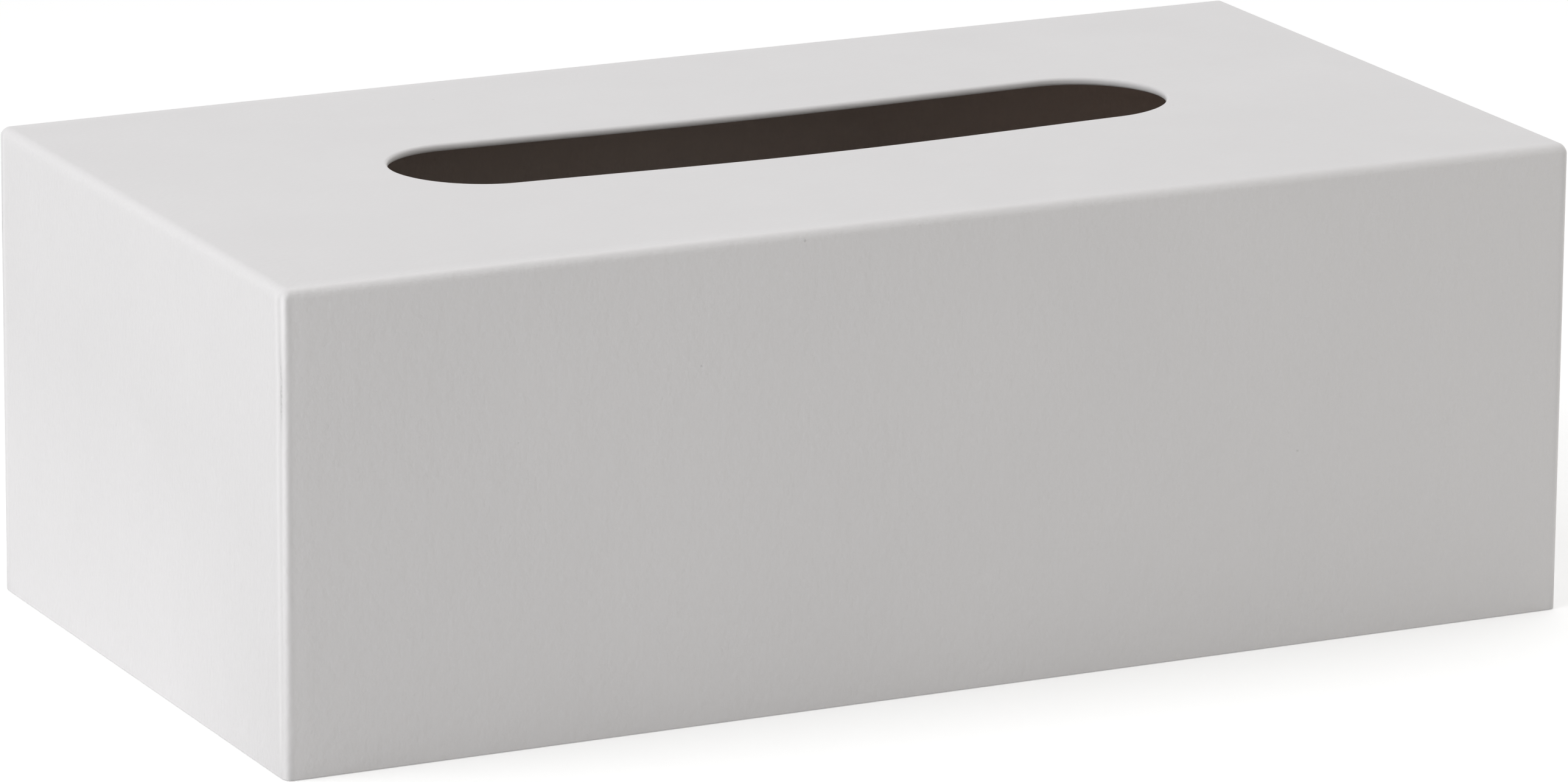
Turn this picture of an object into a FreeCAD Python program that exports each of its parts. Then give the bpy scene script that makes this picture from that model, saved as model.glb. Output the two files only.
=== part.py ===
import FreeCAD, Part

# Tissue box cover: one blank of sheet steel with its four sides folded down from the top,
# the four upright corners butt welded and ground round, and the whole powder coated.
# It is open underneath, so that it drops over a carton of tissues, and the tissues are
# drawn up through the round-ended slot in its top.
#
# Frame: the origin is the middle of the rectangle that the lower rim stands on. X runs
# along the cover, Y across it and +Z up. All sizes are in millimetres.

import math
import os

import Sketcher

NODE = "tissue_box_cover"
PARTS_FOLDER = "parts"
NEAR = 0.01

# alias: (value, what it is). Each size is set here and nowhere else.
SIZES = {
    "cover_length": (260.0, "outside length, along X"),
    "cover_width": (135.0, "outside width, along Y"),
    "cover_height": (90.0, "outside height, along Z"),
    "sheet_thickness": (1.5, "finished sheet, steel and coat together"),
    "inner_bend_radius": (0.5, "inside of the four folds round the top"),
    "corner_radius": (2.0, "outside of the four ground upright corners"),
    "slot_length": (157.5, "dispensing slot, tip to tip, along X"),
    "slot_width": (33.5, "dispensing slot, between its straight sides"),
    "lip_radius": (0.7, "rounding of the slot's upper and lower edges"),
    "rim_radius": (0.3, "rounding of the cut edges of the lower rim"),
    "seam_depth": (0.2, "how deep the line of each corner weld lies"),
    "seam_tool_radius": (0.5, "rounding of the bottom of each weld line"),
    "seam_top_margin": (0.5, "from the start of the top fold down to each weld line"),
}

# Sizes that follow from those above, worked out by the sheet itself.
DERIVED = {
    "outer_bend_radius": ("=inner_bend_radius + sheet_thickness", "outside of the folds"),
    "slot_end_radius": ("=slot_width / 2", "round ends of the slot"),
    "slot_centre_spacing": ("=slot_length - slot_width", "between the slot's end centres"),
    "lip_radius_used": ("=min(lip_radius; 0.48 * sheet_thickness)", "limited by the sheet"),
    "rim_radius_used": ("=min(rim_radius; 0.4 * sheet_thickness)", "limited by the sheet"),
    "seam_reach_x": ("=cover_length / 2 - seam_depth + seam_tool_radius", "weld line centre"),
    "seam_reach_y": ("=cover_width / 2 - sheet_thickness", "the end wall butts the side wall"),
    "seam_height": ("=cover_height - outer_bend_radius - seam_top_margin", "top of a weld line"),
}


def make_sheet(doc):
    """Put every size in a spreadsheet, one row each, under its alias."""
    sheet = doc.addObject("Spreadsheet::Sheet", "sizes")
    rows = [(alias, str(value), note) for alias, (value, note) in SIZES.items()]
    rows += [(alias, formula, note) for alias, (formula, note) in DERIVED.items()]
    for row, (alias, content, note) in enumerate(rows, start=1):
        sheet.set(f"A{row}", alias)
        sheet.set(f"B{row}", content)
        sheet.set(f"C{row}", note)
        sheet.setAlias(f"B{row}", alias)
    doc.recompute()
    return sheet


def origin_plane(body, role):
    """The body's own origin plane with this role, such as XY_Plane."""
    return next(plane for plane in body.Origin.OriginFeatures if plane.Role == role)


def level_sketch(body, name, height=None):
    """A sketch that lies flat, at the rim or at the height that the sheet's alias gives."""
    sketch = body.newObject("Sketcher::SketchObject", name)
    sketch.AttachmentSupport = (origin_plane(body, "XY_Plane"), [""])
    sketch.MapMode = "FlatFace"
    if height:
        sketch.setExpression("AttachmentOffset.Base.z", f"sizes.{height}")
    return sketch


def bind(sketch, constraint, alias):
    """Add a measuring constraint that takes its value from the sheet."""
    index = sketch.addConstraint(constraint)
    sketch.setExpression(f"Constraints[{index}]", f"sizes.{alias}")


def draw_rectangle(sketch, length, width):
    """A rectangle about the origin, from two aliases."""
    half_x, half_y = SIZES[length][0] / 2, SIZES[width][0] / 2
    corners = [(-half_x, -half_y), (half_x, -half_y), (half_x, half_y), (-half_x, half_y)]
    points = [FreeCAD.Vector(x, y, 0) for x, y in corners]
    for start, end in zip(points, points[1:] + points[:1]):
        sketch.addGeometry(Part.LineSegment(start, end))
    for side in range(4):
        sketch.addConstraint(Sketcher.Constraint("Coincident", side, 2, (side + 1) % 4, 1))
        direction = "Horizontal" if side % 2 == 0 else "Vertical"
        sketch.addConstraint(Sketcher.Constraint(direction, side))
    sketch.addConstraint(Sketcher.Constraint("Symmetric", 0, 1, 1, 2, -1, 1))
    bind(sketch, Sketcher.Constraint("DistanceX", 0, 1, 0, 2, 2 * half_x), length)
    bind(sketch, Sketcher.Constraint("DistanceY", 1, 1, 1, 2, 2 * half_y), width)


def draw_slot(sketch):
    """The slot's outline about the origin: two straight sides and two half circles."""
    radius = SIZES["slot_width"][0] / 2
    spacing = SIZES["slot_length"][0] - SIZES["slot_width"][0]
    reach, up = spacing / 2, FreeCAD.Vector(0, 0, 1)
    lower = (FreeCAD.Vector(-reach, -radius, 0), FreeCAD.Vector(reach, -radius, 0))
    upper = (FreeCAD.Vector(reach, radius, 0), FreeCAD.Vector(-reach, radius, 0))
    right = Part.Circle(FreeCAD.Vector(reach, 0, 0), up, radius)
    left = Part.Circle(FreeCAD.Vector(-reach, 0, 0), up, radius)
    quarter = math.pi / 2
    sketch.addGeometry(Part.LineSegment(*lower))
    sketch.addGeometry(Part.ArcOfCircle(right, -quarter, quarter))
    sketch.addGeometry(Part.LineSegment(*upper))
    sketch.addGeometry(Part.ArcOfCircle(left, quarter, 3 * quarter))
    for curve in range(4):
        sketch.addConstraint(Sketcher.Constraint("Tangent", curve, 2, (curve + 1) % 4, 1))
    sketch.addConstraint(Sketcher.Constraint("Horizontal", 0))
    sketch.addConstraint(Sketcher.Constraint("Symmetric", 1, 3, 3, 3, -1, 1))
    bind(sketch, Sketcher.Constraint("Radius", 1, radius), "slot_end_radius")
    bind(sketch, Sketcher.Constraint("DistanceX", 3, 3, 1, 3, spacing), "slot_centre_spacing")


def draw_seams(sketch, sheet):
    """One small circle at each end of each end wall, where its edge meets the side wall."""
    radius = sheet.seam_tool_radius
    signs = [(-1, -1), (1, -1), (1, 1), (-1, 1)]
    for curve, (side_x, side_y) in enumerate(signs):
        centre = FreeCAD.Vector(side_x * sheet.seam_reach_x, side_y * sheet.seam_reach_y, 0)
        sketch.addGeometry(Part.Circle(centre, FreeCAD.Vector(0, 0, 1), radius))
        if curve:
            sketch.addConstraint(Sketcher.Constraint("Equal", 0, curve))
    sketch.addConstraint(Sketcher.Constraint("Symmetric", 0, 3, 1, 3, -2))
    sketch.addConstraint(Sketcher.Constraint("Symmetric", 0, 3, 3, 3, -1))
    sketch.addConstraint(Sketcher.Constraint("Symmetric", 0, 3, 2, 3, -1, 1))
    bind(sketch, Sketcher.Constraint("Radius", 0, radius), "seam_tool_radius")
    bind(sketch, Sketcher.Constraint("DistanceX", 0, 3, -1, 1, sheet.seam_reach_x), "seam_reach_x")
    bind(sketch, Sketcher.Constraint("DistanceY", 0, 3, -1, 1, sheet.seam_reach_y), "seam_reach_y")


def edges_where(feature, wanted):
    """Names of the feature's edges whose box passes the test."""
    names = []
    for number, edge in enumerate(feature.Shape.Edges, start=1):
        if wanted(edge.BoundBox):
            names.append(f"Edge{number}")
    return names


def level_at(height):
    """A test for edges that lie flat at this height."""
    return lambda box: abs(box.ZMin - height) < NEAR and abs(box.ZMax - height) < NEAR


def round_edges(body, name, base, edges, alias):
    """Fillet the named edges of the feature before it, with a radius from the sheet."""
    if not edges:
        raise RuntimeError(f"{name}: no edge to round")
    fillet = body.newObject("PartDesign::Fillet", name)
    fillet.Base = (base, edges)
    fillet.setExpression("Radius", f"sizes.{alias}")
    body.Document.recompute()
    return fillet


def lay_out_block(body):
    """The outside of the folded blank as a plain block, standing on its rim."""
    outline = level_sketch(body, "outside_outline")
    draw_rectangle(outline, "cover_length", "cover_width")
    block = body.newObject("PartDesign::Pad", "outside_block")
    block.Profile = outline
    block.setExpression("Length", "sizes.cover_height")
    outline.Visibility = False
    body.Document.recompute()
    return block


def fold_and_grind(body, block, sheet):
    """Round the four ground corners and the four folds; they meet in ball corners."""
    upright = edges_where(block, lambda box: box.ZLength > sheet.cover_height - NEAR)
    corners = round_edges(body, "ground_corners", block, upright, "corner_radius")
    folds = edges_where(corners, level_at(sheet.cover_height))
    return round_edges(body, "top_folds", corners, folds, "outer_bend_radius")


def hollow_out(body, folded):
    """Leave one thickness of sheet under the top and inside the walls, open underneath."""
    shell = body.newObject("PartDesign::Thickness", "sheet")
    faces = enumerate(folded.Shape.Faces, start=1)
    open_face = [f"Face{number}" for number, face in faces if face.BoundBox.ZMax < NEAR]
    shell.Base = (folded, open_face)
    shell.setExpression("Value", "sizes.sheet_thickness")
    shell.Reversed = True
    shell.Mode = 0
    shell.Join = 0
    body.Document.recompute()
    return shell


def ease_rim(body, shell):
    """Ease the two cut edges of the rim that the cover stands on."""
    return round_edges(body, "eased_rim", shell, edges_where(shell, level_at(0)), "rim_radius_used")


def cut_slot(body, rim, sheet):
    """Cut the slot through the top and round both of its edges."""
    outline = level_sketch(body, "slot_outline", "cover_height")
    draw_slot(outline)
    slot = body.newObject("PartDesign::Pocket", "slot")
    slot.Profile = outline
    slot.setExpression("Length", "2 * sizes.sheet_thickness")
    body.Document.recompute()
    if slot.Shape.Volume > rim.Shape.Volume - 1:
        raise RuntimeError("the slot cut nothing")
    upper = level_at(sheet.cover_height)
    lower = level_at(sheet.cover_height - sheet.sheet_thickness)
    reach_x = sheet.slot_length / 2 + NEAR
    reach_y = sheet.slot_width / 2 + NEAR

    def on_slot(box):
        inside = max(abs(box.XMin), abs(box.XMax)) < reach_x
        return inside and max(abs(box.YMin), abs(box.YMax)) < reach_y

    lips = edges_where(slot, lambda box: on_slot(box) and (upper(box) or lower(box)))
    return round_edges(body, "slot_lips", slot, lips, "lip_radius_used")


def cut_seams(body, lips):
    """Cut the shallow line that each corner weld leaves down the end walls."""
    outline = level_sketch(body, "seam_outline")
    draw_seams(outline, body.Document.sizes)
    seams = body.newObject("PartDesign::Pocket", "corner_seams")
    seams.Profile = outline
    seams.Reversed = True
    seams.setExpression("Length", "sizes.seam_height")
    body.Document.recompute()
    if seams.Shape.Volume > lips.Shape.Volume - 1:
        raise RuntimeError("the seams cut nothing")
    return seams


def make_cover(doc, sheet):
    """The cover, from the block to the last cut."""
    body = doc.addObject("PartDesign::Body", NODE)
    body.Label = NODE
    body.Placement = FreeCAD.Placement()
    block = lay_out_block(body)
    folded = fold_and_grind(body, block, sheet)
    shell = hollow_out(body, folded)
    rim = ease_rim(body, shell)
    lips = cut_slot(body, rim, sheet)
    body.Tip = cut_seams(body, lips)
    doc.recompute()
    return body


def check(doc, bodies):
    """Stop if any object failed or any sub-part isn't one valid closed solid."""
    for item in doc.Objects:
        if {"Invalid", "Error"} & set(item.State):
            raise RuntimeError(f"{item.Name} failed: {item.State}")
    for body in bodies:
        shape = body.Shape
        if shape.isNull() or not shape.isValid() or len(shape.Solids) != 1:
            raise RuntimeError(f"{body.Label} isn't one valid solid")


def main():
    doc = FreeCAD.newDocument("tissue_box")
    sheet = make_sheet(doc)
    bodies = [make_cover(doc, sheet)]
    check(doc, bodies)
    os.makedirs(PARTS_FOLDER, exist_ok=True)
    for body in bodies:
        body.Shape.exportStep(os.path.join(PARTS_FOLDER, f"{body.Label}.step"))
        box = body.Shape.optimalBoundingBox()
        size = f"{box.XLength:.2f} x {box.YLength:.2f} x {box.ZLength:.2f} mm"
        print(f"{body.Label}: {size}, {body.Shape.Volume:.0f} mm3, {len(body.Shape.Faces)} faces")


main()
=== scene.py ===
"""Tissue box cover: one shell of folded sheet steel, welded at its corners and powder coated.

The file is laid out as an add-on and runs as a script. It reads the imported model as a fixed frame,
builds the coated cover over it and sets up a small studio.
"""

import math
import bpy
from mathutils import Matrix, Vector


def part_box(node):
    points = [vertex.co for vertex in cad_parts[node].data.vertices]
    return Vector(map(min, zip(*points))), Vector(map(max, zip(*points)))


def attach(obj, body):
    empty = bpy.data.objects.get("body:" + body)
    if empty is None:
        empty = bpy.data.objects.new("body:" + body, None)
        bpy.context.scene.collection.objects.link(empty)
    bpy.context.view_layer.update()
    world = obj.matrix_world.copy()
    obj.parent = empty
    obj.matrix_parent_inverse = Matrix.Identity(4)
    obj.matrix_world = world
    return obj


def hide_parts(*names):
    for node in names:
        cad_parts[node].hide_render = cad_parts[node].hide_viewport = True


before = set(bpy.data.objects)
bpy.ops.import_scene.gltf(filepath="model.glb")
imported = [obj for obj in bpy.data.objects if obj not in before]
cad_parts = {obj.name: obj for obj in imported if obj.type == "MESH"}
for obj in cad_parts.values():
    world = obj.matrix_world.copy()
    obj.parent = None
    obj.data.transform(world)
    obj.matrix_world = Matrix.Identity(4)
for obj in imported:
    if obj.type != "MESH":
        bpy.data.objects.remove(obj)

from types import SimpleNamespace

import bpy
import numpy as np
from bpy.props import FloatProperty, FloatVectorProperty, PointerProperty
from mathutils import Matrix, Vector

bl_info = {
    "name": "Tissue box cover",
    "version": (1, 0, 0),
    "blender": (4, 5, 0),
    "location": "3D View > Sidebar > Tissue cover",
    "description": "Builds a folded, powder-coated tissue box cover and the studio it stands in",
    "category": "Object",
}

COVER_NODE = "tissue_box_cover"
COVER_BODY = "root"
MM = 0.001
RIGHT_ANGLE = math.pi / 2
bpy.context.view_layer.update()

# How finely each stretch of the shell is divided. The gaps run back from where a corner starts, in mm.
FOLD_STEPS = 12
INNER_FOLD_STEPS = 4
LIP_STEPS = 8
RIM_STEPS = 4
PANEL_RINGS = 16
INNER_PANEL_RINGS = 8
INNER_WALL_ROWS = 12
LONG_WALL_STEPS = 16
END_WALL_STEPS = 14
LONG_CORNER_STEPS = 18
SEAM_CORNER_STEPS = 26
LONG_WALL_GAPS = (4.5, 3.0, 2.0, 1.4, 0.9, 0.5, 0.2)
SEAM_WALL_GAPS = (0.07, 0.14, 0.22, 0.32, 0.45, 0.65, 0.95, 1.4, 2.1, 3.1, 4.5, 7.0)
WALL_ROW_LOW, WALL_ROW_HIGH = 2.0 * MM, 0.7 * MM
CLOSE_ROWS_FROM = 58 * MM
MERGE_DISTANCE = 0.0001 * MM

# The upper part of each weld is rougher: its middle and its reach, as shares of the cover's height.
ROUGH_WELD_LEVEL, ROUGH_WELD_REACH = 0.79, 0.1
# How far the crease steps aside at the rough part, how far it wavers, and how much more it does there.
CREASE_STEP, CREASE_WAVER, ROUGH_WAVER = 0.35 * MM, 0.03 * MM, 0.06 * MM
WAVER_PITCH, STRENGTH_PITCH = 9 * MM, 23 * MM
# How strong the crease is, how much stronger at the rough part, and how much its strength varies.
CREASE_PLAIN, CREASE_ROUGH, CREASE_UNEVEN = 0.3, 0.6, 0.08
# How high above the rim the crease is whole, where it ends below the top, and how it fades there.
CREASE_FOOT, CREASE_TOP_GAP, CREASE_TOP_FADE = 8 * MM, 0.5 * MM, 1.5 * MM
# The shoulders beside the crease: their strength, and their place and reach in seam widths. They stand a
# little proud, and in the colour they are a painted highlight.
SHOULDER_STRENGTH, SHOULDER_PLACE, SHOULDER_REACH = 0.45, 2.2, 0.9
# Rate and phase of the waves that make an uneven line, and the step in phase from corner to corner.
RIPPLE_WAVES = ((1.0, 0.9), (1.7, 2.3), (2.9, 4.1), (4.7, 5.2))
RIPPLE_CORNER_STEP = 2.1

# Round a corner, as shares of its bend: the nose, the deepest grinding to each side, the nose's reach.
NOSE_PLACE, GRIND_PEAK, NOSE_REACH = 0.56, 0.41, 0.19
# The share of the grinding left at the foot, and how high above it the grinding is whole.
GRIND_AT_FOOT, GRIND_WHOLE_LEVEL = 0.3, 15 * MM
GRIND_TOP_GAP, GRIND_TOP_FADE = 0.35 * MM, 1.0 * MM
# The weld and the grinding stop where the fold has turned in to this share of the corner radius.
WELD_STOPS_AT = 0.6
# How sharply the crown dies out at the panel's edges.
CROWN_EDGE_POWER = 1.5

# Bands of painted highlight over the bends, painted shade where negative: how much lighter, and their place
# and reach in corner radii.
END_FOLD_BAND = (0.05, 0.85, 0.6)
LONG_FOLD_BAND = (0.1, 0.3, 0.3)
SEAM_BAND = (0.1, 0.55, 0.38)
PAST_NOSE_BAND = (-0.08, 1.15, 0.3)
# The long folds' band: its share at the middle, its loss over the length, and its least share.
LONG_BAND_MIDDLE, LONG_BAND_LOSS, LONG_BAND_LEAST = 0.65, 1.4, 0.3
# The end walls' painted light from the floor: how much lighter, and the shares of height and width over
# which that comes in.
PAINTED_FOOT_LIGHT, FOOT_LIGHT_RISE, FOOT_LIGHT_ACROSS = 0.1, 0.6, 0.4
# The inside's painted light: how much lighter at the ends, and the shares of the length where that starts
# and spreads.
PAINTED_INSIDE_LIGHT, INSIDE_LIGHT_FROM, INSIDE_LIGHT_OVER = 0.45, 0.2, 0.25

# The coat's texture. Noise is read between two values that it seldom leaves.
NOISE_LOW, NOISE_HIGH = 0.3, 0.7
DIMPLE_STRETCH = 0.7
LONG_WAVE_RATE, LONG_WAVE_SHARE = 0.25, 1.5
NIB_THRESHOLD, NIB_SHADE = 0.62, -0.05
CALM_DEPTH = 1.5 * MM
CLOUD_SIZE, CLOUD_SHADE = 38 * MM, 0.008
GLOSS_PATCH_SIZE, GLOSS_PATCH_CHANGE = 14 * MM, 0.03
# Pin-holes in the crease: their size, the noise that makes them, and how strong a crease has them.
PIT_SIZE, PIT_NOISE, PITTED_CREASE = 0.6 * MM, (0.42, 0.62), (0.62, 0.95)
# How much darker and deeper the pin-holes are, and the crease's painted shade, which turns into a painted
# highlight on the shoulders below 0.
PIT_SHADE, PIT_HEIGHT, CREASE_SHADE = -0.12, -0.8, -0.18

# Azimuth and elevation of each soft lamp as seen from the cover, in degrees.
LEFT_LAMP_AT = (-85, 15)
UPPER_LAMP_AT = (-90, 60)
RIGHT_LAMP_AT = (50, 20)
BACK_LAMP_AT = (118, 63)
WHITE = (1.0, 1.0, 1.0)
FLOOR_HALF_SIDE, FLOOR_DROP = 3.0, 0.05 * MM
SENSOR_WIDTH = 36.0
CLIP_NEAR, CLIP_FAR = 0.1, 20.0


# Sizes read from the frame ------------------------------------------------------------------------------


def measure_cover(node):
    """The cover's driving sizes in metres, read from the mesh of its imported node."""
    low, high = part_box(node)
    points = np.array([v.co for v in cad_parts[node].data.vertices])
    middle = (low + high) / 2
    plan = np.abs(points[:, :2] - np.array(middle[:2]))
    half_plan = np.array((high - low)[:2]) / 2

    # The top panel's flat stops where the fold begins, one corner radius inside the walls.
    top_face = points[:, 2] > high.z - 1e-6
    corner_radius = half_plan[0] - plan[top_face, 0].max()

    # Well inside the walls there is only the top panel, whose underside is one sheet below its top.
    inboard = np.all(plan < half_plan - 5 * corner_radius, axis=1)
    sheet = high.z - points[inboard, 2].min()

    # The slot's upright wall is the stretch between its two rounded lips, at the middle of the sheet.
    from_mid_sheet = np.abs(points[:, 2] - (high.z - sheet / 2))
    slot_wall = points[inboard & (from_mid_sheet < from_mid_sheet[inboard].min() + 1e-6)]
    return SimpleNamespace(
        length=high.x - low.x,
        width=high.y - low.y,
        height=high.z - low.z,
        corner_radius=corner_radius,
        sheet=sheet,
        slot_length=np.ptp(slot_wall[:, 0]),
        slot_width=np.ptp(slot_wall[:, 1]),
        lip_radius=high.z - slot_wall[:, 2].max(),
    )


PACKED = measure_cover(COVER_NODE)


# Sizes and colours that a user may change ---------------------------------------------------------------


def length_property(name, default, description):
    """A size in metres, shown in the scene's own length unit."""
    return FloatProperty(
        name=name, description=description, default=float(default), min=0, unit="LENGTH", precision=5
    )


def angle_property(name, degrees, description):
    """An angle, shown in degrees."""
    return FloatProperty(
        name=name, description=description, default=math.radians(degrees), subtype="ANGLE"
    )


def number_property(name, default, description):
    """A plain number that can't be negative."""
    return FloatProperty(name=name, description=description, default=default, min=0)


def colour_property(name, default, description):
    """A linear colour of three parts."""
    return FloatVectorProperty(
        name=name, description=description, default=default, min=0, max=1, size=3, subtype="COLOR"
    )


class TissueCoverSizes(bpy.types.PropertyGroup):
    """Sizes of the shell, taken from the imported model, and how far the real sheet strays from them."""

    length: length_property("Length", PACKED.length, "Outside length, from end wall to end wall")
    width: length_property("Width", PACKED.width, "Outside width, from front wall to back wall")
    height: length_property(
        "Height", PACKED.height, "Outside height above the surface it stands on"
    )
    sheet: length_property("Sheet", PACKED.sheet, "Thickness of the coated steel sheet")
    corner_radius: length_property(
        "Corner radius", PACKED.corner_radius, "Outside radius of the folds and the upright corners"
    )
    slot_length: length_property(
        "Slot length", PACKED.slot_length, "Length of the slot over its round ends"
    )
    slot_width: length_property("Slot width", PACKED.slot_width, "Width of the slot")
    lip_radius: length_property(
        "Lip radius", PACKED.lip_radius, "Rounding of the slot's upper and lower lips"
    )
    rim_radius: length_property("Rim radius", 0.3 * MM, "Rounding of the open lower rim")
    crown_middle: length_property(
        "Crown, middle", 0.25 * MM, "How far the top panel bulges at its middle"
    )
    crown_ends: length_property(
        "Crown, slot ends", 1.19 * MM, "How much more it would bulge by the slot's ends"
    )
    crown_lean: number_property(
        "Crown's lean", 0.29, "How much of that bulge moves to the front side of the slot"
    )
    corner_dip: length_property(
        "Corner dip", 0.65 * MM, "How far the near left corner was folded too low"
    )
    dip_along: length_property(
        "Dip, along", 80 * MM, "How far the dip reaches along the cover's length"
    )
    dip_across: length_property("Dip, across", 170 * MM, "How far the dip reaches across its width")
    seam_setback_top: length_property(
        "Seam setback, top",
        1.8 * MM,
        "Distance of the weld seam from the long wall's face, at its upper end",
    )
    seam_setback_foot: length_property(
        "Seam setback, foot",
        0.97 * MM,
        "Distance of the weld seam from the long wall's face, at its foot",
    )
    seam_depth: length_property(
        "Seam depth", 0.04 * MM, "Depth of the crease that the coat leaves over the weld"
    )
    seam_width: length_property("Seam width", 0.6 * MM, "Half width of that crease")
    grind_end_wall: length_property(
        "Grinding, end wall", 0.16 * MM, "How far the end wall was ground down"
    )
    grind_long_wall: length_property(
        "Grinding, long wall", 0.10 * MM, "How far the long wall was ground down"
    )
    nose_height: length_property(
        "Nose height", 0.12 * MM, "How far the nose of the corner stands proud of its arc"
    )
    grind_reach: length_property(
        "Grinding reach", 1.5 * MM, "How far along each wall the grinding fades out"
    )


class TissueCoverFinish(bpy.types.PropertyGroup):
    """Colours and texture of the powder coat."""

    outside_colour: colour_property("Outside", (0.708, 0.694, 0.700), "Colour of the coat outside")
    # The inside's colour is darker and warmer than the outside's; that darkness is partly painted shade
    # inside the shell.
    inside_colour: colour_property(
        "Inside", (0.48, 0.41, 0.37), "Colour of the thinner coat inside"
    )
    gloss_roughness: number_property("Roughness", 0.40, "Roughness of the satin coat")
    specular: number_property(
        "Specular", 0.25, "How strongly the coat mirrors: 0.5 is a plain gloss paint"
    )
    peel_size: length_property("Peel size", 1.0 * MM, "Width of one dimple of the orange peel")
    peel_height: length_property("Peel height", 0.14 * MM, "Height of the orange peel")
    peel_on_top: number_property(
        "Peel on top", 0.25, "Strength of the orange peel on the top panel"
    )
    nib_spacing: length_property(
        "Nib spacing", 11 * MM, "Mean distance between small nibs in the coat"
    )
    nib_size: length_property("Nib size", 0.3 * MM, "Radius of one nib")


class TissueCoverStudio(bpy.types.PropertyGroup):
    """Camera, lamps and floor of the studio."""

    view_azimuth: angle_property("Azimuth", -26.22, "Direction of the camera round the cover")
    view_elevation: angle_property("Elevation", 15.06, "Height of the camera above the horizon")
    view_roll: angle_property("Roll", 0.439, "Tilt of the picture")
    view_distance: length_property(
        "Distance", 1.7752, "Distance of the camera from the cover's middle"
    )
    view_right: FloatProperty(
        name="Aim right",
        description="How far right of the middle the camera aims",
        default=0.6 * MM,
        unit="LENGTH",
    )
    view_up: FloatProperty(
        name="Aim up",
        description="How far above the middle the camera aims",
        default=-4.4 * MM,
        unit="LENGTH",
    )
    focal_length: number_property(
        "Focal length", 217.59, "Focal length in millimetres, on a 36 mm wide sensor"
    )
    sky_strength: number_property(
        "Sky strength", 0.35, "Brightness of the surroundings that light the cover"
    )
    left_power: number_property(
        "Left lamp", 5.85, "Power in watts of the low soft lamp to the left"
    )
    upper_power: number_property(
        "Upper lamp", 4.2, "Power in watts of the high soft lamp to the left"
    )
    right_power: number_property(
        "Right lamp", 2.35, "Power in watts of the low soft lamp to the right"
    )
    back_power: number_property(
        "Back lamp", 3.7, "Power in watts of the high soft lamp behind, to the right"
    )
    left_colour: colour_property(
        "Left lamp's colour", (0.985, 1.0, 0.995), "Colour of the low lamp to the left"
    )
    right_colour: colour_property(
        "Right lamp's colour", (1.0, 0.97, 0.86), "Colour of the low lamp to the right"
    )
    softbox_side: length_property("Lamp side", 0.9, "Side of each square soft lamp")
    softbox_distance: length_property(
        "Lamp distance", 1.2, "Distance of each soft lamp from the cover's middle"
    )
    floor_colour: colour_property("Floor", (0.9, 0.9, 0.9), "Colour of the floor")
    floor_lift: number_property(
        "Floor lift", 0.3, "Light added to the floor where the camera sees it"
    )


# Plan and section of the shell --------------------------------------------------------------------------


def slot_edge(size, angle):
    """Point of the slot's round end, and the direction away from the slot, at an angle to its length."""
    away = (math.cos(angle), math.sin(angle))
    end_radius = size.slot_width / 2
    end_centre = size.slot_length / 2 - end_radius
    return (end_centre + end_radius * away[0], end_radius * away[1]), away


def quarter_stations(size):
    """Upright cuts through a quarter of the shell, from the middle of a long wall to that of an end wall.

    Each is (core, outward, edge, away, distance): a point of the rectangle that the corner radius is swept
    round, the wall's outward direction, the point of the slot's edge that the cut runs to, the direction
    away from the slot there, and the distance round the wall from where the end wall meets the corner.
    """
    radius = size.corner_radius
    core_x, core_y = size.length / 2 - radius, size.width / 2 - radius
    straight = (size.slot_length - size.slot_width) / 2
    half_turn = RIGHT_ANGLE / 2
    stations = []

    for x in np.linspace(0, straight, LONG_WALL_STEPS, endpoint=False):
        edge, away = (x, size.slot_width / 2), (0.0, 1.0)
        stations.append(((x, core_y), (0.0, 1.0), edge, away, RIGHT_ANGLE * radius + core_x - x))
    by_slot_end = np.linspace(straight, core_x, LONG_WALL_STEPS, endpoint=False)
    near_corner = [core_x - gap * MM for gap in LONG_WALL_GAPS]
    for x in [*by_slot_end[:-1], *near_corner]:
        edge, away = slot_edge(size, RIGHT_ANGLE - half_turn * (x - straight) / (core_x - straight))
        stations.append(((x, core_y), (0.0, 1.0), edge, away, RIGHT_ANGLE * radius + core_x - x))

    edge, away = slot_edge(size, half_turn)
    turns = [
        *np.linspace(RIGHT_ANGLE, half_turn, LONG_CORNER_STEPS, endpoint=False),
        *np.linspace(half_turn, 0, SEAM_CORNER_STEPS),
    ]
    for turn in turns:
        outward = (math.cos(turn), math.sin(turn))
        stations.append(((core_x, core_y), outward, edge, away, turn * radius))

    near_seam = [core_y - gap * MM for gap in SEAM_WALL_GAPS]
    for y in [*near_seam, *np.linspace(near_seam[-1], 0, END_WALL_STEPS + 1)[1:]]:
        edge, away = slot_edge(size, half_turn * y / core_y)
        stations.append(((core_x, y), (1.0, 0.0), edge, away, y - core_y))
    return stations


def all_stations(size):
    """The quarter's stations mirrored into a closed ring, anticlockwise from the front wall's middle."""
    quarter = quarter_stations(size)
    ring = []
    for corner, (x_sign, y_sign) in enumerate([(1, -1), (1, 1), (-1, 1), (-1, -1)]):
        runs_on = x_sign * y_sign < 0
        flip = np.array([x_sign, y_sign])
        for core, outward, edge, away, distance in quarter[:-1] if runs_on else quarter[:0:-1]:
            ring.append((flip * core, flip * outward, flip * edge, flip * away, distance, corner))
    columns = [np.array(column, dtype=float) for column in zip(*ring)]
    return SimpleNamespace(**dict(zip(("core", "outward", "edge", "away", "distance", "corner"), columns)))


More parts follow.
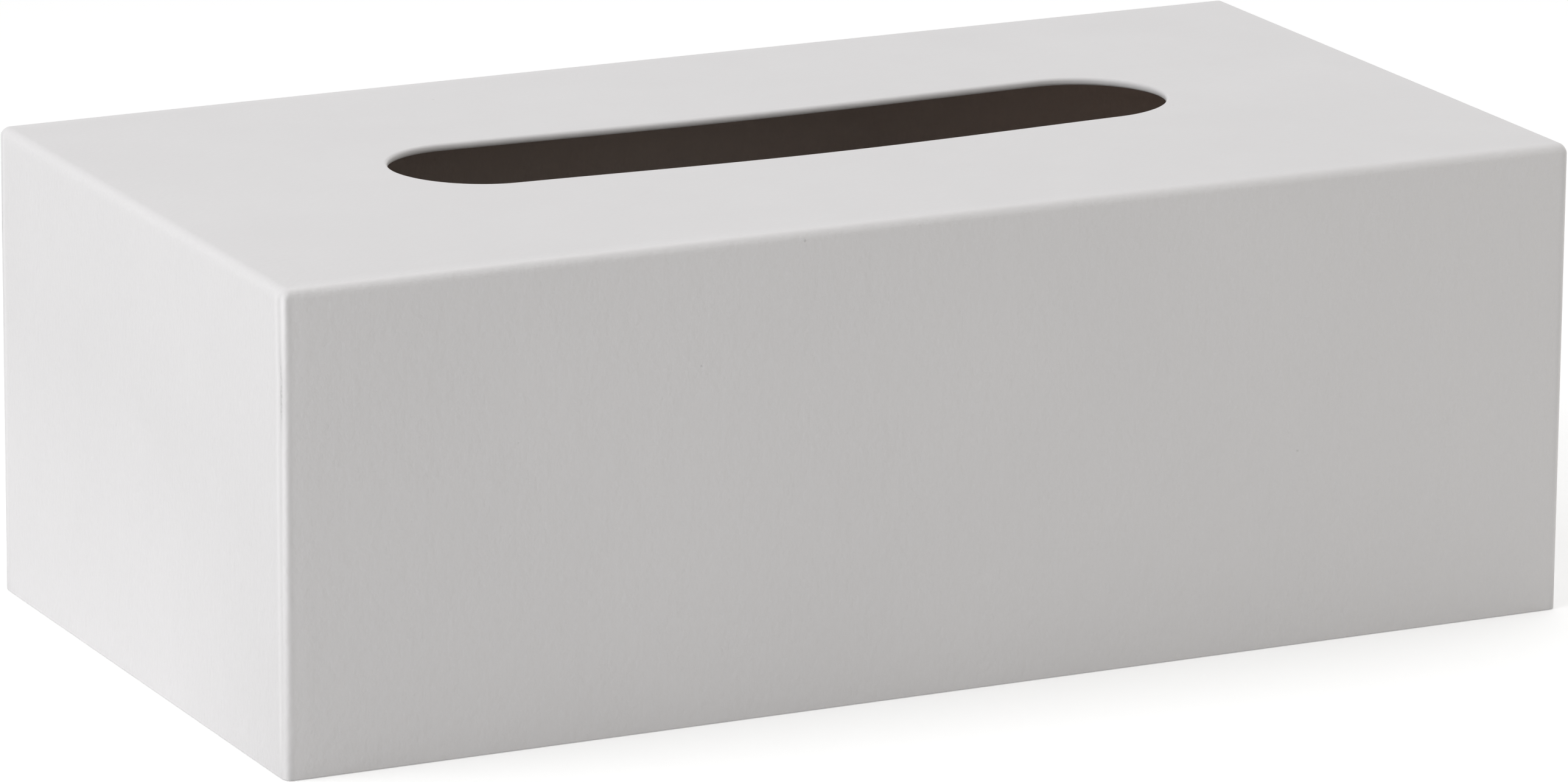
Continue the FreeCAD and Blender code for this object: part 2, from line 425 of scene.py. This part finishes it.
def wall_levels(low, high):
    """Heights of the rows up an outer wall: wide apart below, close together where the seam is busy."""
    change = min(max(CLOSE_ROWS_FROM, low), high)
    low_rows = max(1, round((change - low) / WALL_ROW_LOW))
    high_rows = max(1, round((high - change) / WALL_ROW_HIGH))
    lower = np.linspace(low, change, low_rows, endpoint=False)
    return [*lower, *np.linspace(change, high, high_rows)]


def section_rows(size):
    """The shell's section, as rows from the rim up the outside, over the lip and down the inside.

    Each is (share, out, off, level, inside): the share of the way from the core rectangle to the slot, the
    offset out from the core, the offset away from the slot's edge, the height, and whether it is inside.
    """
    outer, lip, rim = size.corner_radius, size.lip_radius, size.rim_radius
    inner = outer - size.sheet
    top, under = size.height, size.height - size.sheet
    fold_level = size.height - outer
    rows = []

    for turn in np.linspace(RIGHT_ANGLE, 0, RIM_STEPS, endpoint=False):
        rows.append((0, outer - rim + rim * math.cos(turn), 0, rim - rim * math.sin(turn), False))
    for level in wall_levels(rim, fold_level):
        rows.append((0, outer, 0, level, False))
    for turn in np.linspace(0, RIGHT_ANGLE, FOLD_STEPS + 1)[1:]:
        rows.append((0, outer * math.cos(turn), 0, fold_level + outer * math.sin(turn), False))
    for share in np.linspace(0, 1, PANEL_RINGS + 1)[1:]:
        rows.append((share, 0, share * lip, top, False))
    for turn in np.linspace(0, RIGHT_ANGLE, LIP_STEPS + 1)[1:]:
        rows.append((1, 0, lip - lip * math.sin(turn), top - lip + lip * math.cos(turn), False))
    for turn in np.linspace(0, RIGHT_ANGLE, LIP_STEPS + 1):
        rows.append((1, 0, lip - lip * math.cos(turn), under + lip - lip * math.sin(turn), False))
    for share in np.linspace(1, 0, INNER_PANEL_RINGS + 1)[1:]:
        rows.append((share, 0, share * lip, under, True))
    for turn in np.linspace(RIGHT_ANGLE, 0, INNER_FOLD_STEPS + 1)[1:]:
        rows.append((0, inner * math.cos(turn), 0, fold_level + inner * math.sin(turn), True))
    for level in np.linspace(fold_level, rim, INNER_WALL_ROWS + 1)[1:]:
        rows.append((0, inner, 0, level, True))
    for turn in np.linspace(0, RIGHT_ANGLE, RIM_STEPS + 1)[1:]:
        rows.append((0, inner + rim - rim * math.cos(turn), 0, rim - rim * math.sin(turn), True))
    columns = [np.array(column, dtype=float) for column in zip(*rows)]
    return SimpleNamespace(**dict(zip(("share", "out", "off", "level", "inside"), columns)))


# How the real sheet strays from the drawing -------------------------------------------------------------


def panel_crown(size, x, y):
    """How far the top panel bulges: little at the middle of the slot's sides, most beside its ends.

    The bulge beside the ends leans to the front.
    """
    slot_end = (size.slot_length - size.slot_width) / 2
    leaning = 1 - size.crown_lean * np.tanh(2 * y / size.slot_width)
    bulge = size.crown_middle + size.crown_ends * leaning * (x / slot_end) ** 2
    held_by_ends = np.clip(1 - (2 * x / size.length) ** 2, 0, 1) ** CROWN_EDGE_POWER
    held_by_sides = np.clip(1 - (2 * y / size.width) ** 2, 0, 1) ** CROWN_EDGE_POWER
    return bulge * held_by_ends * held_by_sides


def fold_dip(size, x, y):
    """How far the top lies too low: most at the near left corner, fading along both of its folds."""
    along = (x + size.length / 2) / size.dip_along
    across = (y + size.width / 2) / size.dip_across
    return size.corner_dip * np.exp(-along - across)


def ripple(height, corner, pitch):
    """A smooth uneven line up a seam, from -1 to 1, different at each corner."""
    turn = 2 * math.pi * height / pitch
    shift = RIPPLE_CORNER_STEP * corner
    total = sum(np.sin(turn * rate + phase + shift) / rate for rate, phase in RIPPLE_WAVES)
    return total / sum(1 / rate for rate, _ in RIPPLE_WAVES)


def bell(distance, reach):
    """A smooth bump of height 1 about 0."""
    return np.exp(-((distance / reach) ** 2))


def seam_shape(size, distance, level, corner):
    """The weld's line: a crease, from 0 to about 1, between two shoulders that are a little below 0. In the
    colour the crease is painted shade and the shoulders a painted highlight.
    """
    rise = np.clip(level / (size.height - size.corner_radius), 0, 1)
    setback = size.seam_setback_foot + (size.seam_setback_top - size.seam_setback_foot) * rise
    rough = bell(level - ROUGH_WELD_LEVEL * size.height, ROUGH_WELD_REACH * size.height)
    waver = (CREASE_WAVER + ROUGH_WAVER * rough) * ripple(level, corner, WAVER_PITCH)
    from_seam = distance - (size.corner_radius - setback) - CREASE_STEP * rough - waver

    strength = CREASE_PLAIN + CREASE_ROUGH * rough + CREASE_UNEVEN * ripple(level, corner, STRENGTH_PITCH)
    above_foot = np.clip(level / CREASE_FOOT, 0, 1)
    below_top = np.clip((size.height - CREASE_TOP_GAP - level) / CREASE_TOP_FADE, 0, 1)
    from_shoulder = np.abs(from_seam) - SHOULDER_PLACE * size.seam_width
    shoulders = SHOULDER_STRENGTH * bell(from_shoulder, SHOULDER_REACH * size.seam_width)
    return above_foot * below_top * (strength * bell(from_seam, size.seam_width) - shoulders)


def ground_away(size, distance, level):
    """How far grinding took both walls down beside a corner, which leaves its nose tighter and proud."""
    bend = RIGHT_ANGLE * size.corner_radius
    from_nose = distance - NOSE_PLACE * bend
    beyond = np.abs(from_nose) - GRIND_PEAK * bend
    fading = bell(beyond, np.where(beyond > 0, size.grind_reach, NOSE_REACH * bend))
    depth = np.where(from_nose < 0, size.grind_end_wall, size.grind_long_wall)
    above_foot = np.clip(level / GRIND_WHOLE_LEVEL, 0, 1)
    ground = depth * fading * (GRIND_AT_FOOT + (1 - GRIND_AT_FOOT) * above_foot)
    proud = size.nose_height * bell(from_nose, NOSE_REACH * bend)
    below_top = np.clip((size.height - GRIND_TOP_GAP - level) / GRIND_TOP_FADE, 0, 1)
    return (ground - proud) * below_top


# Painted light and shade on the coat: highlight bands over the bends, light at the end walls' foot and at
# the inside's ends.
def band(distance, radius, lighter, place, reach):
    """A band of painted highlight (painted shade where lighter is negative), at a place and with a reach
    that are given in corner radii.
    """
    return lighter * bell(distance - place * radius, reach * radius)


def painted_edge_light(size, distance, level, x):
    """Painted highlight over the bends: bands along the folds and beside the seam.

    On a long fold the band fades towards the right, and just past a corner's nose there is a band of
    painted shade.
    """
    radius = size.corner_radius
    fold_level = size.height - radius
    up_fold = np.arcsin(np.clip((level - fold_level) / radius, 0, 1)) * radius
    from_top = RIGHT_ANGLE * radius - up_fold + np.maximum(fold_level - level, 0)
    long_wall = np.clip(distance / (RIGHT_ANGLE * radius), 0, 1)
    fading = np.clip(LONG_BAND_MIDDLE - LONG_BAND_LOSS * x / size.length, LONG_BAND_LEAST, 1)
    on_end_fold = band(from_top, radius, *END_FOLD_BAND) * (1 - long_wall)
    on_long_fold = band(from_top, radius, *LONG_FOLD_BAND) * long_wall * fading
    below_fold = np.clip((size.height - level) / radius, 0, 1)
    by_seam = band(distance, radius, *SEAM_BAND) * below_fold
    past_nose = band(distance, radius, *PAST_NOSE_BAND) * below_fold
    return np.maximum(on_end_fold + on_long_fold, by_seam) + past_nose


def painted_foot_light(size, distance, level, y):
    """Painted light on the end walls, as bounced up from the floor: fuller towards the foot, but less so
    near the front.
    """
    rise = np.clip(1 - level / (FOOT_LIGHT_RISE * size.height), 0, 1)
    from_front = np.clip((y + size.width / 2) / (FOOT_LIGHT_ACROSS * size.width), 0, 1)
    on_end_wall = np.clip(-distance / size.corner_radius, 0, 1)
    return PAINTED_FOOT_LIGHT * rise * from_front * on_end_wall


def painted_inside_light(size, x):
    """Painted light on the inside: how much lighter it is towards the two end walls."""
    past_start = np.abs(x) - INSIDE_LIGHT_FROM * size.length
    return PAINTED_INSIDE_LIGHT * np.clip(past_start / (INSIDE_LIGHT_OVER * size.length), 0, 1)


# The shell's mesh ---------------------------------------------------------------------------------------


def shell_grid(size):
    """The shell's grid of points, rows by stations, with a mask for each effect and each row's side."""
    ring, rows = all_stations(size), section_rows(size)
    share, out, off = (column[:, None, None] for column in (rows.share, rows.out, rows.off))
    plan = ring.core * (1 - share) + ring.edge * share + ring.outward * out + ring.away * off
    level = np.repeat(rows.level[:, None], len(ring.core), axis=1)
    x, y = plan[:, :, 0], plan[:, :, 1]
    distance, corner = ring.distance[None, :], ring.corner[None, :]

    outside = ((rows.share == 0) & (rows.inside == 0))[:, None]
    welded = outside & (rows.out > WELD_STOPS_AT * size.corner_radius)[:, None]
    crease = seam_shape(size, distance, level, corner) * welded
    ground = ground_away(size, distance, level) * welded
    # Painted light and shade on the coat: highlight bands over the bends, light at the end walls' foot and
    # light at the inside's ends.
    light = (painted_edge_light(size, distance, level, x) + painted_foot_light(size, distance, level, y)) * outside
    light = light + painted_inside_light(size, x) * rows.inside[:, None]

    plan = plan - ring.outward * (crease * size.seam_depth + ground)[:, :, None]
    x, y = plan[:, :, 0], plan[:, :, 1]
    upper = level > size.height / 2
    level = level + upper * panel_crown(size, x, y)
    level = level - level / size.height * fold_dip(size, x, y)
    masks = {"weld_seam": crease, "painted_light": light}
    return np.dstack([plan, level]), masks, rows.inside.astype(int)


def shell_mesh(size):
    """A closed mesh of the shell, all quads but for the fans where the upright corners end at the top."""
    grid, masks, inside = shell_grid(size)
    row_count, station_count = grid.shape[:2]
    points = grid.reshape(-1, 3)
    rounded = np.round(points / MERGE_DISTANCE)
    _, first, merged = np.unique(rounded, axis=0, return_index=True, return_inverse=True)
    merged = merged.reshape(row_count, station_count)

    faces, sides = [], []
    for row in range(row_count):
        above = (row + 1) % row_count
        for station in range(station_count):
            beside = (station + 1) % station_count
            low, high = merged[row], merged[above]
            loop = (low[station], low[beside], high[beside], high[station])
            corners = list(dict.fromkeys(int(corner) for corner in loop))
            if len(corners) > 2:
                faces.append(corners)
                sides.append(max(inside[row], inside[above]) if above else 0)

    mesh = bpy.data.meshes.new(COVER_NODE + "_shell")
    mesh.from_pydata(points[first].tolist(), [], faces)
    mesh.polygons.foreach_set("material_index", sides)
    mesh.shade_smooth()
    for name, values in masks.items():
        mask = mesh.attributes.new(name, "FLOAT", "POINT")
        mask.data.foreach_set("value", values.reshape(-1)[first].astype(np.float32))
    if mesh.validate():
        raise RuntimeError("the shell's mesh had faces that Blender had to remove")
    if len(mesh.edges) * 2 != sum(len(face) for face in faces):
        raise RuntimeError("the shell's mesh isn't closed")
    return mesh


# Powder coat --------------------------------------------------------------------------------------------


def shader_group(name, inputs, outputs):
    """An empty shader group with named number or colour sockets, and its two end nodes."""
    group = bpy.data.node_groups.new(name, "ShaderNodeTree")
    for label, value in inputs.items():
        kind = "NodeSocketFloat" if isinstance(value, float) else "NodeSocketColor"
        socket = group.interface.new_socket(label, in_out="INPUT", socket_type=kind)
        socket.default_value = value
    for label, kind in outputs.items():
        group.interface.new_socket(label, in_out="OUTPUT", socket_type=kind)
    return group, group.nodes.new("NodeGroupInput"), group.nodes.new("NodeGroupOutput")


def math_node(tree, operation, *values):
    """A Math node fed with numbers or sockets."""
    node = tree.nodes.new("ShaderNodeMath")
    node.operation = operation
    for socket, value in zip(node.inputs, values):
        if isinstance(value, bpy.types.NodeSocket):
            tree.links.new(value, socket)
        else:
            socket.default_value = value
    return node.outputs[0]


def noise_node(tree, vector, scale, detail=2.0):
    """Noise from 0 to 1 whose features are one over scale wide."""
    node = tree.nodes.new("ShaderNodeTexNoise")
    node.inputs["Detail"].default_value = detail
    tree.links.new(vector, node.inputs["Vector"])
    if isinstance(scale, bpy.types.NodeSocket):
        tree.links.new(scale, node.inputs["Scale"])
    else:
        node.inputs["Scale"].default_value = scale
    return node.outputs["Fac"]


def range_node(tree, value, low, high, to_low=0.0, to_high=1.0, smooth=False):
    """Maps a value from one range to another, held at its ends."""
    node = tree.nodes.new("ShaderNodeMapRange")
    node.interpolation_type = "SMOOTHSTEP" if smooth else "LINEAR"
    for socket, given in zip(node.inputs, (value, low, high, to_low, to_high)):
        if isinstance(given, bpy.types.NodeSocket):
            tree.links.new(given, socket)
        else:
            socket.default_value = given
    return node.outputs["Result"]


def powder_texture():
    """Group: colour, roughness and height of a powder coat, with its orange peel, cloudiness and nibs."""
    inputs = {
        "Colour": (0.7, 0.7, 0.7, 1.0),
        "Roughness": 0.45,
        "Peel Size": 1.0 * MM,
        "Nib Spacing": 11 * MM,
        "Nib Size": 0.3 * MM,
        "Top Level": 90 * MM,
        "Peel On Top": 0.25,
    }
    outputs = {"Colour": "NodeSocketColor", "Roughness": "NodeSocketFloat", "Height": "NodeSocketFloat"}
    group, given, result = shader_group("powder_texture", inputs, outputs)
    place = group.nodes.new("ShaderNodeTexCoord").outputs["Object"]

    # Orange peel: dimples drawn out a little downwards, as the coat ran before it set, and longer waves.
    drawn = group.nodes.new("ShaderNodeMapping")
    drawn.inputs["Scale"].default_value = (1.0, 1.0, DIMPLE_STRETCH)
    group.links.new(place, drawn.inputs["Vector"])
    peel_rate = math_node(group, "DIVIDE", 1.0, given.outputs["Peel Size"])
    peel = noise_node(group, drawn.outputs["Vector"], peel_rate)
    wave_rate = math_node(group, "MULTIPLY", peel_rate, LONG_WAVE_RATE)
    wave = noise_node(group, drawn.outputs["Vector"], wave_rate)

    # Nibs: grains caught in the coat, in some of the cells.
    cells = group.nodes.new("ShaderNodeTexVoronoi")
    group.links.new(place, cells.inputs["Vector"])
    cell_rate = math_node(group, "DIVIDE", 1.0, given.outputs["Nib Spacing"])
    group.links.new(cell_rate, cells.inputs["Scale"])
    reach = math_node(group, "DIVIDE", given.outputs["Nib Size"], given.outputs["Nib Spacing"])
    nib = range_node(group, cells.outputs["Distance"], 0.0, reach, 1.0, 0.0, smooth=True)
    chosen = math_node(group, "GREATER_THAN", cells.outputs["Color"], NIB_THRESHOLD)
    nib = math_node(group, "MULTIPLY", nib, chosen)

    # The coat lay flat on the top panel and ran on the walls, so the peel is calmer above the folds.
    level = group.nodes.new("ShaderNodeSeparateXYZ")
    group.links.new(place, level.inputs[0])
    top_level, on_top = given.outputs["Top Level"], given.outputs["Peel On Top"]
    calm_from = math_node(group, "SUBTRACT", top_level, CALM_DEPTH)
    calming = range_node(group, level.outputs["Z"], calm_from, top_level, 1.0, on_top)

    height = math_node(group, "MULTIPLY_ADD", wave, LONG_WAVE_SHARE, peel)
    height = math_node(group, "MULTIPLY", height, calming)
    height = math_node(group, "ADD", nib, height)
    group.links.new(height, result.inputs["Height"])

    # Colour: a faint cloudiness, with each nib a little darker.
    cloud = noise_node(group, place, 1 / CLOUD_SIZE, detail=3.0)
    shade = range_node(group, cloud, NOISE_LOW, NOISE_HIGH, 1 - CLOUD_SHADE, 1 + CLOUD_SHADE)
    shade = math_node(group, "MULTIPLY_ADD", nib, NIB_SHADE, shade)
    tint = group.nodes.new("ShaderNodeVectorMath")
    tint.operation = "SCALE"
    group.links.new(given.outputs["Colour"], tint.inputs[0])
    group.links.new(shade, tint.inputs["Scale"])
    group.links.new(tint.outputs["Vector"], result.inputs["Colour"])

    # Roughness: slightly duller and glossier patches.
    patches = noise_node(group, place, 1 / GLOSS_PATCH_SIZE)
    change = (-GLOSS_PATCH_CHANGE, GLOSS_PATCH_CHANGE)
    patch = range_node(group, patches, NOISE_LOW, NOISE_HIGH, *change)
    roughness = math_node(group, "ADD", given.outputs["Roughness"], patch)
    group.links.new(roughness, result.inputs["Roughness"])
    return group


def coat_material(name, group, finish, colour):
    """A powder coat: the shared texture, with painted shade in the weld's crease, a painted highlight on
    its shoulders, and the painted light and shade of the shell's light mask.
    """
    material = bpy.data.materials.new(name)
    material.use_nodes = True
    material.diffuse_color = (*colour, 1.0)
    tree = material.node_tree
    shader = tree.nodes["Principled BSDF"]

    texture = tree.nodes.new("ShaderNodeGroup")
    texture.node_tree = group
    texture.inputs["Colour"].default_value = (*colour, 1.0)
    texture.inputs["Roughness"].default_value = finish.gloss_roughness
    texture.inputs["Peel Size"].default_value = finish.peel_size
    texture.inputs["Nib Spacing"].default_value = finish.nib_spacing
    texture.inputs["Nib Size"].default_value = finish.nib_size
    texture.inputs["Top Level"].default_value = PACKED.height
    texture.inputs["Peel On Top"].default_value = finish.peel_on_top

    seam = tree.nodes.new("ShaderNodeAttribute")
    seam.attribute_name = "weld_seam"
    light = tree.nodes.new("ShaderNodeAttribute")
    light.attribute_name = "painted_light"
    place = tree.nodes.new("ShaderNodeTexCoord").outputs["Object"]
    pits = range_node(tree, noise_node(tree, place, 1 / PIT_SIZE), *PIT_NOISE)
    pitted = math_node(tree, "MULTIPLY", pits, range_node(tree, seam.outputs["Fac"], *PITTED_CREASE))
    shade = math_node(tree, "MULTIPLY_ADD", pitted, PIT_SHADE, 1.0)
    # The crease is painted darker, as shade, and its shoulders lighter, as a highlight.
    shade = math_node(tree, "MULTIPLY_ADD", seam.outputs["Fac"], CREASE_SHADE, shade)
    # Painted light and shade from the shell's light mask, added to the colour.
    shade = math_node(tree, "ADD", light.outputs["Fac"], shade)
    shaded = tree.nodes.new("ShaderNodeVectorMath")
    shaded.operation = "SCALE"
    tree.links.new(texture.outputs["Colour"], shaded.inputs[0])
    tree.links.new(shade, shaded.inputs["Scale"])

    bump = tree.nodes.new("ShaderNodeBump")
    bump.inputs["Distance"].default_value = finish.peel_height
    height = math_node(tree, "MULTIPLY_ADD", pitted, PIT_HEIGHT, texture.outputs["Height"])
    tree.links.new(height, bump.inputs["Height"])

    shader.inputs["Specular IOR Level"].default_value = finish.specular
    tree.links.new(shaded.outputs["Vector"], shader.inputs["Base Color"])
    tree.links.new(texture.outputs["Roughness"], shader.inputs["Roughness"])
    tree.links.new(bump.outputs["Normal"], shader.inputs["Normal"])
    return material


def make_cover(size, finish):
    """Builds the coated shell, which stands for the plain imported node."""
    cover = bpy.data.objects.new("powder_coated_cover", shell_mesh(size))
    bpy.context.scene.collection.objects.link(cover)
    group = powder_texture()
    for name, colour in (("outside_coat", finish.outside_colour), ("inside_coat", finish.inside_colour)):
        cover.data.materials.append(coat_material(name, group, finish, tuple(colour)))
    normals = cover.modifiers.new("even_normals", "WEIGHTED_NORMAL")
    normals.mode = "FACE_AREA"
    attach(cover, COVER_BODY)
    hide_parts(COVER_NODE)


# Studio -------------------------------------------------------------------------------------------------


def seen_directly(tree):
    """1 for rays that show the backdrop as it is: from the camera, off a gloss or through glass."""
    path = tree.nodes.new("ShaderNodeLightPath")
    seen = math_node(tree, "MAXIMUM", path.outputs["Is Camera Ray"], path.outputs["Is Glossy Ray"])
    return math_node(tree, "MAXIMUM", seen, path.outputs["Is Transmission Ray"])


def floor_material(name, studio, floor_lift):
    """A pale matt floor that keeps the soft shadow, and is lifted towards white where it is seen."""
    material = bpy.data.materials.new(name)
    material.use_nodes = True
    tree = material.node_tree
    shader = tree.nodes["Principled BSDF"]
    shader.inputs["Base Color"].default_value = (*studio.floor_colour, 1.0)
    shader.inputs["Roughness"].default_value = 1.0
    shader.inputs["Specular IOR Level"].default_value = 0.0
    lift = math_node(tree, "MULTIPLY", seen_directly(tree), floor_lift)
    shader.inputs["Emission Color"].default_value = (*WHITE, 1.0)
    tree.links.new(lift, shader.inputs["Emission Strength"])
    return material


def make_floor(studio):
    """A wide floor just under the cover's rim, lifted everywhere but inside the cover."""
    half = FLOOR_HALF_SIDE
    low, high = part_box(COVER_NODE)
    inset = PACKED.sheet / 2
    under = [(low.x + inset, low.y + inset), (high.x - inset, low.y + inset)]
    under += [(high.x - inset, high.y - inset), (low.x + inset, high.y - inset)]
    wide = [(-half, -half), (half, -half), (half, half), (-half, half)]
    frames = [(corner, (corner + 1) % 4, 4 + (corner + 1) % 4, 4 + corner) for corner in range(4)]

    mesh = bpy.data.meshes.new("studio_floor")
    points = [(x, y, -FLOOR_DROP) for x, y in [*wide, *under]]
    mesh.from_pydata(points, [], [*frames, (4, 5, 6, 7)])
    mesh.materials.append(floor_material("pale_floor", studio, studio.floor_lift))
    mesh.materials.append(floor_material("floor_under_cover", studio, 0.0))
    mesh.polygons[4].material_index = 1
    floor = bpy.data.objects.new("studio_floor", mesh)
    bpy.context.scene.collection.objects.link(floor)


def make_sky(studio):
    """Even white surroundings: a plain strength of light, and white where they are seen directly."""
    world = bpy.data.worlds.new("studio_sky")
    world.use_nodes = True
    tree = world.node_tree
    light = tree.nodes["Background"]
    light.inputs["Color"].default_value = (*WHITE, 1.0)
    strength = range_node(tree, seen_directly(tree), 0.0, 1.0, studio.sky_strength, 1.0)
    tree.links.new(strength, light.inputs["Strength"])
    bpy.context.scene.world = world


def cover_middle():
    """The middle of the cover's packed box."""
    low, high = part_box(COVER_NODE)
    return (low + high) / 2


def direction(azimuth, elevation):
    """Unit vector from the cover to a place round it: azimuth 0 is in front, -90 degrees to its left."""
    level = math.cos(elevation)
    return Vector((math.sin(azimuth) * level, -math.cos(azimuth) * level, math.sin(elevation)))


def make_softbox(name, place, power, studio, colour=WHITE):
    """A square soft lamp aimed at the cover's middle, from an azimuth and an elevation in degrees."""
    middle = cover_middle()
    lamp = bpy.data.lights.new(name, "AREA")
    lamp.size = studio.softbox_side
    lamp.energy = power
    lamp.color = tuple(colour)
    box = bpy.data.objects.new(name, lamp)
    towards = direction(*(math.radians(angle) for angle in place))
    box.location = middle + towards * studio.softbox_distance
    box.rotation_euler = (-towards).to_track_quat("-Z", "Y").to_euler()
    box.visible_glossy = False  # so that the satin coat mirrors no lamp from any side
    bpy.context.scene.collection.objects.link(box)


def make_camera(studio):
    """The camera, at the studio's viewing angle and distance."""
    data = bpy.data.cameras.new("view_camera")
    data.sensor_width = SENSOR_WIDTH
    data.lens = studio.focal_length
    data.clip_start, data.clip_end = CLIP_NEAR, CLIP_FAR
    camera = bpy.data.objects.new("view_camera", data)
    bpy.context.scene.collection.objects.link(camera)

    back = direction(studio.view_azimuth, studio.view_elevation)
    level_right = Vector((0, 0, 1)).cross(back).normalized()
    level_up = back.cross(level_right)
    cosine, sine = math.cos(studio.view_roll), math.sin(studio.view_roll)
    right = level_right * cosine + level_up * sine
    up = level_up * cosine - level_right * sine
    aim = cover_middle() + right * studio.view_right + up * studio.view_up
    spot = aim + back * studio.view_distance
    camera.matrix_world = Matrix.Translation(spot) @ Matrix((right, up, back)).transposed().to_4x4()
    bpy.context.scene.camera = camera


def make_stage(studio):
    """Floor, surroundings, lamps and camera."""
    make_floor(studio)
    make_sky(studio)
    make_softbox("left_softbox", LEFT_LAMP_AT, studio.left_power, studio, studio.left_colour)
    make_softbox("upper_softbox", UPPER_LAMP_AT, studio.upper_power, studio)
    make_softbox("right_softbox", RIGHT_LAMP_AT, studio.right_power, studio, studio.right_colour)
    make_softbox("back_softbox", BACK_LAMP_AT, studio.back_power, studio)
    make_camera(studio)
    bpy.context.scene.view_settings.view_transform = "Standard"


# Operators and panel ------------------------------------------------------------------------------------


class TISSUE_COVER_OT_make_cover(bpy.types.Operator):
    """Build the folded and powder-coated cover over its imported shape"""

    bl_idname = "tissue_cover.make_cover"
    bl_label = "Folded cover"

    def execute(self, context):
        make_cover(context.scene.tissue_cover_sizes, context.scene.tissue_cover_finish)
        return {"FINISHED"}


class TISSUE_COVER_OT_make_stage(bpy.types.Operator):
    """Set up the floor, surroundings, lamps and camera"""

    bl_idname = "tissue_cover.make_stage"
    bl_label = "Studio"

    def execute(self, context):
        make_stage(context.scene.tissue_cover_studio)
        return {"FINISHED"}


class VIEW3D_PT_tissue_cover(bpy.types.Panel):
    """Sizes, colours and steps of the tissue box cover"""

    bl_idname = "VIEW3D_PT_tissue_cover"
    bl_label = "Tissue box cover"
    bl_space_type = "VIEW_3D"
    bl_region_type = "UI"
    bl_category = "Tissue cover"

    def draw(self, context):
        scene = context.scene
        steps = [
            (TISSUE_COVER_OT_make_cover, (scene.tissue_cover_sizes, scene.tissue_cover_finish)),
            (TISSUE_COVER_OT_make_stage, (scene.tissue_cover_studio,)),
        ]
        for operator, groups in steps:
            box = self.layout.box()
            box.operator(operator.bl_idname)
            for group in groups:
                for name in type(group).__annotations__:
                    box.prop(group, name)


CLASSES = (
    TissueCoverSizes,
    TissueCoverFinish,
    TissueCoverStudio,
    TISSUE_COVER_OT_make_cover,
    TISSUE_COVER_OT_make_stage,
    VIEW3D_PT_tissue_cover,
)


def register():
    for cls in CLASSES:
        bpy.utils.register_class(cls)
    bpy.types.Scene.tissue_cover_sizes = PointerProperty(type=TissueCoverSizes)
    bpy.types.Scene.tissue_cover_finish = PointerProperty(type=TissueCoverFinish)
    bpy.types.Scene.tissue_cover_studio = PointerProperty(type=TissueCoverStudio)


def unregister():
    del bpy.types.Scene.tissue_cover_studio
    del bpy.types.Scene.tissue_cover_finish
    del bpy.types.Scene.tissue_cover_sizes
    for cls in reversed(CLASSES):
        bpy.utils.unregister_class(cls)


def main():
    register()
    bpy.ops.tissue_cover.make_cover()
    bpy.ops.tissue_cover.make_stage()


if __name__ == "__main__":
    main()
